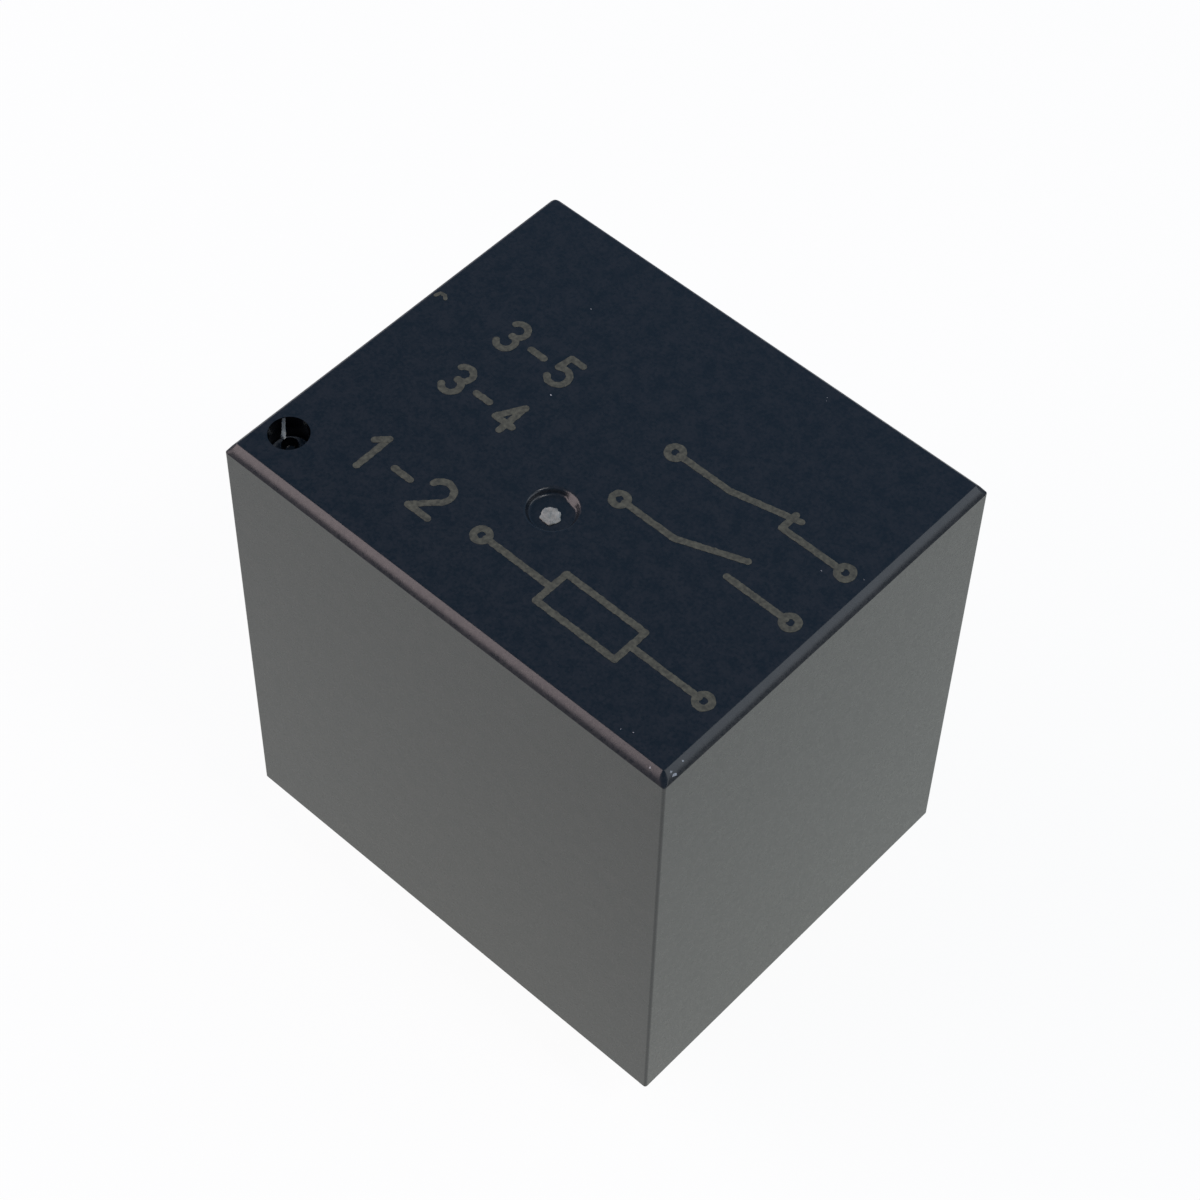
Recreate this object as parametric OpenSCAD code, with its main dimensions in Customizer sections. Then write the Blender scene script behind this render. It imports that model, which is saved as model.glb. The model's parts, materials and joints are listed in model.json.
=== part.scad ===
// Sealed power relay for a circuit board: an upright box on five pins that holds a coil,
// a hinged armature and one change-over contact. All sizes are in millimetres.
// The origin lies on the face of the board, at the middle of the footprint.
// X runs along the body from the hinge to the contacts, Y across it, and Z up from the board.
// The armature is drawn at rest, with no current in the coil.

/* [Cover] */
// Length of the cover along X
body_l = 19; // [18:0.5:22]
// Width of the cover along Y
body_w = 15.6; // [15:0.2:18]
// Height of the cover above the board
body_h = 19.2; // [18:0.2:23]
// Radius of the upright edges
corner_r = 0.15; // [0.1:0.05:0.5]
// Bevel of the edges round the top
top_bevel = 0.33; // [0.2:0.01:0.5]
// Radius that eases the bevel into the sides
bevel_ease_r = 0.25; // [0.1:0.05:0.4]
// Thickness of the side walls
cover_wall = 0.8; // [0.7:0.05:1]
// Thickness of the top
cover_top = 0.9; // [0.8:0.05:1.2]
// Depth of the inner ledge that stops the base
ledge = 0.2; // [0.1:0.05:0.3]
// Radius of the corners inside the cover
inner_corner_r = 0.4; // [0.3:0.05:0.6]

/* [Moulding marks on the top] */
// Diameter of the dished recess round the moulding gate
gate_d = 1.9; // [1.5:0.1:2.4]
// Depth of that recess
gate_depth = 0.3; // [0.1:0.05:0.4]
// How far the wall of that recess leans in at its floor
gate_lean = 0.1; // [0.02:0.02:0.2]
// Diameter of the broken gate left in the recess
gate_stub_d = 0.75; // [0.5:0.05:1]
// Height of the broken gate above the floor of the recess
gate_stub_h = 0.1; // [0.05:0.05:0.3]
// Distance of the gate from the middle, towards -Y
gate_offset = 2.5; // [0:0.1:4]
// Diameter of the vent pocket
vent_d = 1.4; // [1:0.1:1.6]
// Depth of the vent pocket
vent_depth = 0.95; // [0.5:0.05:1.2]
// Wall of the boss that takes the vent pocket inside the cover
vent_wall = 0.5; // [0.4:0.05:0.7]
// Diameter of the closed vent nib in the pocket
vent_nib_d = 0.6; // [0.3:0.05:0.8]
// Height of the vent nib above the floor of the pocket
vent_nib_h = 0.4; // [0.1:0.05:0.5]
// Distance of the vent from the -X side
vent_inset_x = 1; // [0.9:0.05:1.5]
// Distance of the vent from the -Y side
vent_inset_y = 1.7; // [1.2:0.1:3]

/* [Base and resin] */
// Thickness of the base
base_t = 2.1; // [1.8:0.1:2.6]
// Thickness of the sealing resin under the base
resin_t = 0.35; // [0.25:0.05:0.6]
// Height of the resin face above the board
resin_inset = 0.15; // [0.05:0.05:0.3]
// Thickness of the wall between coil and contacts
barrier_t = 0.5; // [0.4:0.05:0.8]
// Length of the contact chamber along X
chamber_l = 3.9; // [3.8:0.1:4.4]
// Distance of the barrier's top below the pole face
barrier_drop = 0.6; // [0.4:0.1:2]
// Height of the cheeks that hold the yoke upright
cheek_h = 4; // [2:0.5:6]

/* [Magnet] */
// Thickness of the yoke strip
yoke_t = 1.4; // [1.2:0.1:1.6]
// Inside radius of the yoke's bend
yoke_bend_r = 0.4; // [0.3:0.1:0.8]
// Reach of the yoke's plate past the coil axis
yoke_reach = 3.2; // [2.6:0.1:4]
// Room between the yoke's back and the cover, for the spring
back_gap = 0.7; // [0.6:0.05:0.9]
// Diameter of the core
core_d = 4.6; // [4:0.1:5]
// Diameter of the core's foot in the yoke
foot_d = 3.4; // [2.8:0.1:3.8]
// Height of the core's riveted end below the terminal
foot_head_h = 0.3; // [0.2:0.05:0.5]
// Reach of the riveted end past the foot
foot_head_over = 0.4; // [0.2:0.05:0.6]
// Diameter of the pole face
pole_d = 7.4; // [6.4:0.1:8]
// Thickness of the pole head
pole_t = 0.8; // [0.6:0.1:1.2]

/* [Armature] */
// Thickness of the armature
armature_t = 1.2; // [1:0.1:1.4]
// Angle of the armature at rest, open
open_angle = 2.8; // [2.2:0.1:3.2]
// Air left between armature and pole face when closed
residual_gap = 0.03; // [0.02:0.01:0.08]
// Reach of the armature past the edge of the pole face
armature_reach = 0.25; // [0.1:0.05:0.6]
// Width of the armature over the pole
armature_nose_w = 7.4; // [6:0.2:8]
// Chamfer at the heel, under the bend of the spring
heel_chamfer = 0.5; // [0.4:0.05:0.7]

/* [Coil] */
// Thickness of the bobbin's flanges
flange_t = 0.8; // [0.6:0.1:1]
// Thickness of the bobbin's barrel
barrel_wall = 0.75; // [0.6:0.05:1]
// Reach of the flanges past the sides of the yoke
flange_over = 0.3; // [0.1:0.05:0.5]
// Room beside the flanges for the ends of the wire
lead_room = 1; // [0.6:0.1:1.4]
// Distance of the winding's surface inside the flange's edge
winding_inset = 0.35; // [0.2:0.05:0.8]
// Wall of the bosses round the coil pins
boss_wall = 0.3; // [0.25:0.05:0.4]
// Diameter of the coil wire's tails
wire_d = 0.12; // [0.08:0.02:0.2]
// Diameter of the solder on a coil pin
solder_d = 1.3; // [1.1:0.1:1.5]
// Height of the solder on a coil pin
solder_h = 1.2; // [0.8:0.1:1.5]
// Height of the wire above the bobbin's flange
wire_z = 0.45; // [0.35:0.05:0.5]

/* [Contacts] */
// Thickness of the contact terminals
strip_t = 0.5; // [0.4:0.05:0.6]
// Width of the fixed contact terminals
strip_w = 3; // [2.6:0.1:3.4]
// Inside radius of the terminals' bends
strip_bend_r = 0.3; // [0.2:0.05:0.6]
// Diameter of the contact heads
contact_d = 2.8; // [2.4:0.1:3]
// Height of the contact heads
contact_h = 0.5; // [0.4:0.05:0.6]
// Radius of the crown on the moving contact
crown_r = 6; // [4:0.5:12]
// Diameter of the contact rivets' shanks
rivet_d = 1.4; // [1:0.1:1.6]
// Diameter of the contact rivets' tails
tail_d = 2; // [1.8:0.1:2.2]
// Height of the contact rivets' tails
tail_h = 0.25; // [0.2:0.05:0.4]
// Chamfer round the face of a fixed contact
contact_chamfer = 0.12; // [0.05:0.01:0.2]
// Metal left round the contacts on terminal arms and spring
contact_margin = 0.3; // [0.2:0.05:0.4]
// Clearance between the contacts that meet at each stop
contact_gap = 0.03; // [0.02:0.01:0.08]
// Room between the upper rivet tail and the cover's ceiling
ceiling_gap = 0.2; // [0.15:0.05:0.6]
// Width of the common terminal's strip
com_w = 2.4; // [1.6:0.1:3]
// Depth of that strip in the base, down to its pin
com_leg = 0.8; // [0.6:0.1:1.2]
// Width of the common terminal's ring round the core's foot
com_ring_w = 1; // [0.8:0.1:1.2]

/* [Contact spring] */
// Thickness of the spring leaf
spring_t = 0.2; // [0.15:0.01:0.25]
// Width of the leaf on the yoke and the armature
spring_w = 7; // [6:0.2:7.4]
// Inside radius of the bend over the heel
spring_bend_r = 0.5; // [0.4:0.05:0.7]
// Length of the leaf on the yoke's back
spring_tail = 7.6; // [6.4:0.2:8.4]
// Width of the window in the bend
window_w = 2.6; // [1.6:0.2:2.8]
// Depth of the window below the pole face
window_drop = 2.2; // [1:0.2:2.4]
// Diameter of the staked bosses that hold the leaf
stake_d = 1.2; // [0.8:0.1:1.4]
// Diameter of the staked heads
stake_head_d = 1.8; // [1.6:0.1:2.1]
// Height of the staked heads
stake_head_h = 0.25; // [0.15:0.05:0.3]
// Distance of the staked bosses from the middle
stake_y = 2.3; // [2:0.1:2.4]

/* [Pins] */
// Length of the pins below the board face
pin_l = 3.5; // [2.5:0.1:4]
// Width of the flat contact pins
blade_w = 1; // [0.8:0.1:1.2]
// Diameter of the coil pins in the board
coil_pin_d = 0.8; // [0.6:0.1:0.9]
// Diameter of the coil pins inside the base
coil_shank_d = 1.2; // [1.15:0.05:1.3]
// Distance of the coil pins from the common pin, along X
coil_pin_offset = 2.2; // [2:0.1:3]
// Length of the coil pins above the bobbin
coil_stub_l = 1.7; // [1.6:0.1:2.4]
// Length of the tapered tip on every pin
pin_tip = 0.4; // [0.2:0.1:0.8]

/* [Clearances] */
// Between pieces that are pressed, staked or potted together
press_gap = 0.02; // [0.01:0.01:0.04]
// Between the base and the cover, and round pins in the base
slip_gap = 0.05; // [0.03:0.01:0.1]
// Between the bosses, the yoke and the cover
boss_gap = 0.1; // [0.08:0.02:0.2]
// Between the bobbin's flanges and what stands beside them
flange_gap = 0.15; // [0.1:0.05:0.3]

/* [Hidden] */
$fn = 64;

// Cuts run this far past the faces that they open
past = 0.5;
// Added material starts this far inside what carries it
sink = 0.3;
// Flats that stand for the bend of the spring
bend_steps = 12;

// Inside of the cover
inner_l = body_l - 2 * cover_wall;
inner_w = body_w - 2 * cover_wall;
rim_l = inner_l + 2 * ledge;
rim_w = inner_w + 2 * ledge;
ceiling_z = body_h - cover_top;

// Levels from the board up to the coil
base_z = resin_inset + resin_t;
base_top = base_z + base_t;
yoke_z = base_top + strip_t;
plate_top = yoke_z + yoke_t;
low_flange_top = plate_top + flange_t;
stub_top = low_flange_top + coil_stub_l;

// Places across the body: bosses beside the walls, pins in line with them
coil_pin_r = coil_pin_d / 2;
coil_shank_r = coil_shank_d / 2;
boss_r = coil_shank_r + boss_wall;
row_y = inner_w / 2 - boss_gap - boss_r;

// Places along the body: yoke at the -X end, contact chamber at the +X end, coil between them
yoke_back = back_gap - inner_l / 2;
leg_front = yoke_back + yoke_t;
barrier_x1 = inner_l / 2 - chamber_l;
barrier_x0 = barrier_x1 - barrier_t;
coil_x = (leg_front + barrier_x0) / 2;
contact_x = inner_l / 2 - chamber_l / 2;
com_x = yoke_back + yoke_t / 2;
coil_pin_x = com_x + coil_pin_offset;

// Coil and core
core_r = core_d / 2;
foot_r = foot_d / 2;
pole_r = pole_d / 2;
barrel_r = core_r + press_gap + barrel_wall;
// The round coil takes the smaller of the rooms along and across the body, the yoke fits under it
flange_r = min((barrier_x0 - leg_front) / 2, inner_w / 2 - lead_room) - flange_gap;
winding_r = flange_r - winding_inset;
yoke_w = 2 * min(row_y - boss_r - boss_gap, flange_r - flange_over);

// Levels from the ceiling down to the pole face. The crown of the moving contact just clears
// the upper contact at rest, when the armature stands open.
hinge_x = yoke_back + boss_gap;
nc_arm_z = ceiling_z - ceiling_gap - tail_h - strip_t;
nc_face_z = nc_arm_z - contact_h;
crown_centre_h = armature_t + spring_t + contact_h - crown_r;
rise = (contact_x - hinge_x) * sin(open_angle) + crown_centre_h * cos(open_angle) + crown_r;
hinge_z = nc_face_z - contact_gap - rise;
pole_z = hinge_z - residual_gap;
high_flange_z = pole_z - pole_t - flange_t;
winding_h = high_flange_z - low_flange_top;
no_face_z = hinge_z + armature_t - contact_h - contact_gap;
no_arm_top = no_face_z - contact_h;

// Armature and spring
armature_front = coil_x + pole_r + armature_reach;
armature_heel_l = yoke_t + 2 * boss_gap;
stake_z = pole_z - spring_tail / 2 - stake_head_d / 2;
stake_x = hinge_x + armature_heel_l + stake_head_d;
arm_over = contact_d / 2 + contact_margin;
bend_x = yoke_back + spring_bend_r;
bend_z = hinge_z + (armature_t - spring_bend_r + (bend_x - hinge_x) * sin(open_angle)) / cos(open_angle);
spring_arm_l = contact_x + arm_over + past - bend_x;

// Common terminal under the yoke
com_ring_r = foot_r + com_ring_w;
com_bend_x = com_x + strip_t / 2 + strip_bend_r;
foot_head_r = foot_r + foot_head_over;

// Colours of the materials
black_plastic = [0.09, 0.1, 0.12];
base_plastic = [0.13, 0.13, 0.14];
resin_black = [0.2, 0.19, 0.18];
bobbin_plastic = [0.86, 0.84, 0.78];
plated_iron = [0.74, 0.74, 0.72];
enamelled_copper = [0.68, 0.31, 0.16];
tinned_copper = [0.8, 0.79, 0.75];
solder_grey = [0.7, 0.71, 0.72];
brass_strip = [0.82, 0.66, 0.36];
spring_bronze = [0.78, 0.55, 0.34];
contact_silver = [0.88, 0.88, 0.86];

// Rectangle with round corners, about the origin
module rounded_rect(l, w, r) {
    square([l - 2 * r, w], center = true);
    square([l, w - 2 * r], center = true);
    for (sx = [-1, 1], sy = [-1, 1])
        translate([sx * (l / 2 - r), sy * (w / 2 - r)]) circle(r);
}

// Upright face with its two upper corners bevelled, each bevel eased into the side below it
module bevelled_face(l, h, bevel, r) {
    run = r * tan(45 / 2);
    edge_z = h - bevel - run;
    back = run * cos(45);
    polygon([
        [-l / 2, 0], [l / 2, 0], [l / 2, edge_z], [l / 2 - back, h - bevel + back], [l / 2 - bevel, h],
        [bevel - l / 2, h], [back - l / 2, h - bevel + back], [-l / 2, edge_z]
    ]);
    for (side = [-1, 1])
        translate([side * (l / 2 - r), edge_z]) circle(r);
}

// Corner region with a round corner at the origin: the leg runs along -Y and the arm along +X
module corner_region(leg, arm, r) {
    intersection() {
        translate([0, -leg]) square([arm, leg]);
        union() {
            polygon([[0, -leg], [arm, -leg], [arm, 0], [r, 0], [r, -r], [0, -r]]);
            translate([r, -r]) circle(r);
        }
    }
}

// Strip bent through a right angle, seen edge on, with the outside of the bend at the origin
module bent_strip(leg, arm, t, inside_r) {
    difference() {
        corner_region(leg, arm, t + inside_r);
        translate([t, -t]) corner_region(leg, arm, inside_r);
    }
}

// Flat contact pin with a tapered tip, from a height down through the board, across Y
module blade(top_z) {
    rotate([90, 0, 0]) linear_extrude(strip_t, center = true) polygon([
        [-blade_w / 2, top_z],
        [blade_w / 2, top_z],
        [blade_w / 2, pin_tip - pin_l],
        [blade_w / 4, -pin_l],
        [-blade_w / 4, -pin_l],
        [-blade_w / 2, pin_tip - pin_l]
    ]);
}

// Boss along Z that passes through the spring leaf, with its staked head
module stake() {
    translate([0, 0, -sink]) cylinder(d = stake_d, h = sink + spring_t);
    translate([0, 0, spring_t]) cylinder(d1 = stake_head_d, d2 = stake_d, h = stake_head_h);
}

// Turns what is drawn on the closed armature to its place at rest
module at_rest() {
    translate([hinge_x, 0, hinge_z]) rotate([0, -open_angle, 0]) translate([-hinge_x, 0, -hinge_z])
        children();
}

// Black moulded cover with its gate mark and its vent
module cover() color(black_plastic) {
    vent_x = vent_inset_x - body_l / 2;
    vent_y = vent_inset_y - body_w / 2;
    difference() {
        intersection() {
            linear_extrude(body_h) rounded_rect(body_l, body_w, corner_r);
            rotate([90, 0, 0]) linear_extrude(body_w + 2 * past, center = true)
                bevelled_face(body_l, body_h, top_bevel, bevel_ease_r);
            rotate([90, 0, 90]) linear_extrude(body_l + 2 * past, center = true)
                bevelled_face(body_w, body_h, top_bevel, bevel_ease_r);
        }
        translate([0, 0, -past]) linear_extrude(past + base_top) rounded_rect(rim_l, rim_w, inner_corner_r);
        difference() {
            linear_extrude(ceiling_z) rounded_rect(inner_l, inner_w, inner_corner_r);
            translate([vent_x, vent_y, body_h - vent_depth - vent_wall])
                cylinder(d = vent_d + 2 * vent_wall, h = vent_depth + vent_wall);
        }
        translate([0, -gate_offset, body_h - gate_depth]) cylinder(
            d1 = gate_d - 2 * gate_lean,
            d2 = gate_d + 2 * gate_lean * past / gate_depth,
            h = gate_depth + past
        );
        translate([vent_x, vent_y, body_h - vent_depth]) cylinder(d = vent_d, h = vent_depth + past);
    }
    translate([0, -gate_offset, body_h - gate_depth - sink])
        cylinder(d = gate_stub_d, h = sink + gate_stub_h);
    translate([vent_x, vent_y, body_h - vent_depth - sink / 2])
        cylinder(d = vent_nib_d, h = sink / 2 + vent_nib_h);
}

// Moulded base: pin slots, rests and cheeks for the yoke, barrier before the contacts
module base() color(base_plastic) {
    cheek_x0 = inner_corner_r - inner_l / 2;
    cheek_x1 = coil_pin_x - boss_r - 2 * boss_gap;
    cheek_w = inner_w / 2 - yoke_w / 2 - 2 * boss_gap;
    rest_y0 = com_ring_r + 2 * boss_gap;
    rest_w = yoke_w / 2 - 2 * boss_gap - rest_y0;
    barrier_w = inner_w - 2 * flange_gap;
    difference() {
        union() {
            translate([0, 0, base_z]) linear_extrude(base_t)
                rounded_rect(rim_l - 2 * slip_gap, rim_w - 2 * slip_gap, inner_corner_r - slip_gap);
            translate([barrier_x0, -barrier_w / 2, base_top - sink])
                cube([barrier_t, barrier_w, pole_z - barrier_drop - base_top + sink]);
            for (side = [0, 1]) mirror([0, side, 0]) {
                translate([leg_front, rest_y0, base_top - sink])
                    cube([coil_x + yoke_reach - leg_front, rest_w, strip_t + sink]);
                translate([cheek_x0, yoke_w / 2 + boss_gap, base_top - sink])
                    cube([cheek_x1 - cheek_x0, cheek_w, cheek_h + sink]);
            }
        }
        for (side = [-1, 1]) {
            translate([contact_x, side * row_y, base_z + base_t / 2])
                cube([blade_w + 2 * slip_gap, strip_t + 2 * slip_gap, base_t + 2 * past], center = true);
            translate([coil_pin_x, side * row_y, base_z - past])
                cylinder(r = coil_shank_r + slip_gap, h = base_t + 2 * past);
        }
        translate([com_x, 0, base_z + base_t / 2])
            cube([strip_t + 2 * slip_gap, blade_w + 2 * slip_gap, base_t + 2 * past], center = true);
        translate([com_x - strip_t / 2 - slip_gap, -com_w / 2 - slip_gap, base_top - com_leg - slip_gap])
            cube([strip_t + strip_bend_r + 2 * slip_gap, com_w + 2 * slip_gap, com_leg + slip_gap + past]);
        translate([coil_x, 0, base_top - foot_head_h - slip_gap])
            cylinder(r = foot_head_r + 2 * slip_gap, h = foot_head_h + slip_gap + past);
    }
}

// Resin that seals the base into the cover and holds the pins
module sealing_resin() color(resin_black) {
    difference() {
        translate([0, 0, resin_inset]) linear_extrude(resin_t)
            rounded_rect(rim_l - 2 * press_gap, rim_w - 2 * press_gap, inner_corner_r - press_gap);
        for (side = [-1, 1]) {
            translate([contact_x, side * row_y, base_z])
                cube([blade_w + 2 * press_gap, strip_t + 2 * press_gap, 2 * (resin_t + past)], center = true);
            translate([coil_pin_x, side * row_y, resin_inset - past])
                cylinder(r = coil_shank_r + press_gap, h = resin_t + 2 * past);
        }
        translate([com_x, 0, base_z])
            cube([strip_t + 2 * press_gap, blade_w + 2 * press_gap, 2 * (resin_t + past)], center = true);
    }
}

// Bent iron yoke: plate under the coil, leg up to the hinge edge, staked bosses on its back
module yoke() color(plated_iron) {
    difference() {
        rotate([90, 0, 0]) linear_extrude(yoke_w, center = true)
            translate([yoke_back, yoke_z]) mirror([0, 1])
                bent_strip(pole_z - yoke_z, coil_x + yoke_reach - yoke_back, yoke_t, yoke_bend_r);
        translate([coil_x, 0, yoke_z - past]) cylinder(r = foot_r + press_gap, h = yoke_t + 2 * past);
    }
    for (side = [-1, 1])
        translate([yoke_back, side * stake_y, stake_z]) rotate([0, -90, 0]) stake();
}

// Turned iron core: pole head, shank through the bobbin, foot riveted under the yoke and terminal
module core() color(plated_iron) {
    translate([coil_x, 0, 0]) rotate_extrude() polygon([
        [0, base_top - foot_head_h],
        [foot_r, base_top - foot_head_h],
        [foot_head_r, base_top],
        [foot_r, base_top],
        [foot_r, plate_top],
        [core_r, plate_top],
        [core_r, pole_z - pole_t],
        [pole_r, pole_z - pole_t],
        [pole_r, pole_z],
        [0, pole_z]
    ]);
}

// Bobbin: barrel, round upper flange, lower flange that clears the yoke's bend, two coil pin bosses
module bobbin() color(bobbin_plastic) {
    difference() {
        union() {
            translate([coil_x, 0, plate_top]) linear_extrude(flange_t)
                rounded_rect(2 * flange_r, yoke_w, inner_corner_r);
            translate([coil_x, 0, low_flange_top - sink]) cylinder(r = barrel_r, h = winding_h + 2 * sink);
            translate([coil_x, 0, high_flange_z]) cylinder(r = flange_r, h = flange_t);
            for (side = [0, 1]) mirror([0, side, 0]) {
                translate([coil_pin_x, row_y, base_top]) cylinder(r = boss_r, h = low_flange_top - base_top);
                translate([coil_pin_x - boss_r, yoke_w / 2 - sink, plate_top])
                    cube([2 * boss_r, row_y - yoke_w / 2 + sink, flange_t]);
            }
        }
        translate([coil_x, 0, plate_top - past])
            cylinder(r = core_r + press_gap, h = pole_z - pole_t - plate_top + 2 * past);
        translate([yoke_back, -yoke_w / 2 - boss_gap, plate_top - past])
            cube([yoke_t + yoke_bend_r + slip_gap, yoke_w + 2 * boss_gap, flange_t + 2 * past]);
        for (side = [-1, 1])
            translate([coil_pin_x, side * row_y, base_top - past])
                cylinder(r = coil_shank_r + press_gap, h = low_flange_top - base_top + 2 * past);
    }
}

// Winding of enamelled wire on the barrel, without its two tails
module coil_winding() color(enamelled_copper) {
    translate([coil_x, 0, low_flange_top]) difference() {
        cylinder(r = winding_r, h = winding_h);
        translate([0, 0, -past]) cylinder(r = barrel_r + press_gap, h = winding_h + 2 * past);
    }
}

// Round coil pin: tapered tip, thicker shank in resin, base and bobbin, stub for the wire
module coil_terminal(side) {
    translate([coil_pin_x, side * row_y, 0]) rotate_extrude() polygon([
        [0, -pin_l],
        [coil_pin_r / 2, -pin_l],
        [coil_pin_r, pin_tip - pin_l],
        [coil_pin_r, resin_inset],
        [coil_shank_r, resin_inset],
        [coil_shank_r, low_flange_top],
        [coil_pin_r, low_flange_top],
        [coil_pin_r, stub_top],
        [0, stub_top]
    ]);
}

module coil_terminal_a() color(tinned_copper) coil_terminal(-1);

module coil_terminal_b() color(tinned_copper) coil_terminal(1);

// Bead of solder round the wire's turns on a coil pin, without the pin's bore
module solder_bead(side) {
    translate([coil_pin_x, side * row_y, low_flange_top]) rotate_extrude() polygon([
        [0, 0],
        [(coil_pin_r + solder_d / 2) / 2, 0],
        [solder_d / 2, solder_h / 4],
        [solder_d / 2, solder_h / 2],
        [coil_pin_r, solder_h],
        [0, solder_h]
    ]);
}

module solder_joint(side) {
    difference() {
        solder_bead(side);
        translate([coil_pin_x, side * row_y, low_flange_top - past])
            cylinder(r = coil_pin_r + press_gap, h = solder_h + 2 * past);
    }
}

module solder_joint_a() color(solder_grey) solder_joint(-1);

module solder_joint_b() color(solder_grey) solder_joint(1);

// Tail of the coil wire, from the winding to the solder on its pin
module coil_lead(side) {
    aim_x = coil_x - winding_r / 2;
    run = norm([aim_x - coil_pin_x, row_y]);
    difference() {
        translate([coil_pin_x, side * row_y, low_flange_top + wire_z])
            rotate([0, 90, atan2(-side * row_y, aim_x - coil_pin_x)]) cylinder(d = wire_d, h = run);
        translate([coil_x, 0, low_flange_top]) cylinder(r = winding_r, h = winding_h);
        solder_bead(side);
    }
}

module coil_lead_a() color(enamelled_copper) coil_lead(-1);

module coil_lead_b() color(enamelled_copper) coil_lead(1);

// Common terminal: ring clamped under the yoke by the core's foot, bent down to its pin
module com_terminal() color(brass_strip) {
    difference() {
        union() {
            translate([0, 0, base_top]) linear_extrude(strip_t) {
                translate([coil_x, 0]) circle(com_ring_r);
                translate([com_bend_x, -com_w / 2]) square([coil_x - com_bend_x, com_w]);
            }
            rotate([90, 0, 0]) linear_extrude(com_w, center = true)
                translate([com_x - strip_t / 2, yoke_z])
                    bent_strip(strip_t + com_leg, strip_t + strip_bend_r + sink, strip_t, strip_bend_r);
            translate([com_x, 0, 0]) rotate([0, 0, 90]) blade(base_top - com_leg + sink);
        }
        translate([coil_x, 0, base_top - past]) cylinder(r = foot_r + press_gap, h = strip_t + 2 * past);
    }
}

// Fixed contact terminal on the -Y side: post on the base, pin below it, arm over to the contact
module contact_terminal(arm_top) {
    difference() {
        union() {
            translate([contact_x, 0, 0]) rotate([90, 0, 90]) linear_extrude(strip_w, center = true)
                translate([-row_y - strip_t / 2, arm_top])
                    bent_strip(arm_top - base_top, row_y + strip_t / 2 + arm_over, strip_t, strip_bend_r);
            translate([contact_x, -row_y, 0]) blade(base_top + sink);
        }
        translate([contact_x, 0, arm_top - strip_t - past])
            cylinder(r = rivet_d / 2 + press_gap, h = strip_t + 2 * past);
    }
}

module no_terminal() color(brass_strip) contact_terminal(no_arm_top);

module nc_terminal() color(brass_strip) mirror([0, 1, 0]) contact_terminal(nc_arm_z + strip_t);

// Riveted contact with its face at the origin, facing +Z
module fixed_contact() {
    rotate_extrude() polygon([
        [0, 0],
        [contact_d / 2 - contact_chamfer, 0],
        [contact_d / 2, -contact_chamfer],
        [contact_d / 2, -contact_h],
        [rivet_d / 2, -contact_h],
        [rivet_d / 2, -contact_h - strip_t],
        [tail_d / 2, -contact_h - strip_t],
        [rivet_d / 2, -contact_h - strip_t - tail_h],
        [0, -contact_h - strip_t - tail_h]
    ]);
}

module no_contact() color(contact_silver) translate([contact_x, 0, no_face_z]) fixed_contact();

module nc_contact() color(contact_silver)
    translate([contact_x, 0, nc_face_z]) rotate([180, 0, 0]) fixed_contact();

// Iron armature on the yoke's edge, with the staked bosses that hold the spring
module armature() color(plated_iron) at_rest() {
    heel_w = yoke_w - 2 * boss_gap;
    nose_x = hinge_x + heel_chamfer;
    difference() {
        translate([0, 0, hinge_z]) linear_extrude(armature_t) {
            translate([hinge_x, -heel_w / 2]) square([armature_heel_l, heel_w]);
            translate([(nose_x + armature_front) / 2, 0])
                rounded_rect(armature_front - nose_x, armature_nose_w, inner_corner_r);
        }
        translate([hinge_x, 0, hinge_z + armature_t]) rotate([0, 45, 0])
            cube([heel_chamfer * sqrt(2), heel_w + 2 * past, heel_chamfer * sqrt(2)], center = true);
    }
    for (side = [-1, 1])
        translate([stake_x, side * stake_y, hinge_z + armature_t]) stake();
}

// Points along the bend of the spring, seen from the side, at a distance from its centre
function bend_arc(r, turns) = [
    for (a = turns) [bend_x + r * cos(a), bend_z + r * sin(a)]
];

// Spring leaf seen from the side: tail on the yoke's back, bend over the heel, arm to the tip
module spring_side() {
    outer_r = spring_bend_r + spring_t;
    last = 90 + open_angle;
    down = [for (i = [0:bend_steps]) 180 + (last - 180) * i / bend_steps];
    up = [for (i = [0:bend_steps]) last + (180 - last) * i / bend_steps];
    along = spring_arm_l * [cos(open_angle), sin(open_angle)];
    outside = bend_arc(outer_r, down);
    inside = bend_arc(spring_bend_r, up);
    polygon(concat(
        [[yoke_back - spring_t, pole_z - spring_tail]],
        outside,
        [outside[bend_steps] + along, inside[0] + along],
        inside,
        [[yoke_back, pole_z - spring_tail]]
    ));
}

// Part of the arm past the armature, seen from above: it tapers to a round tongue
module tongue_plan() {
    polygon([
        [armature_front, -spring_w / 2],
        [contact_x, -arm_over],
        [contact_x, arm_over],
        [armature_front, spring_w / 2]
    ]);
    translate([contact_x, 0]) circle(arm_over);
}

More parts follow.
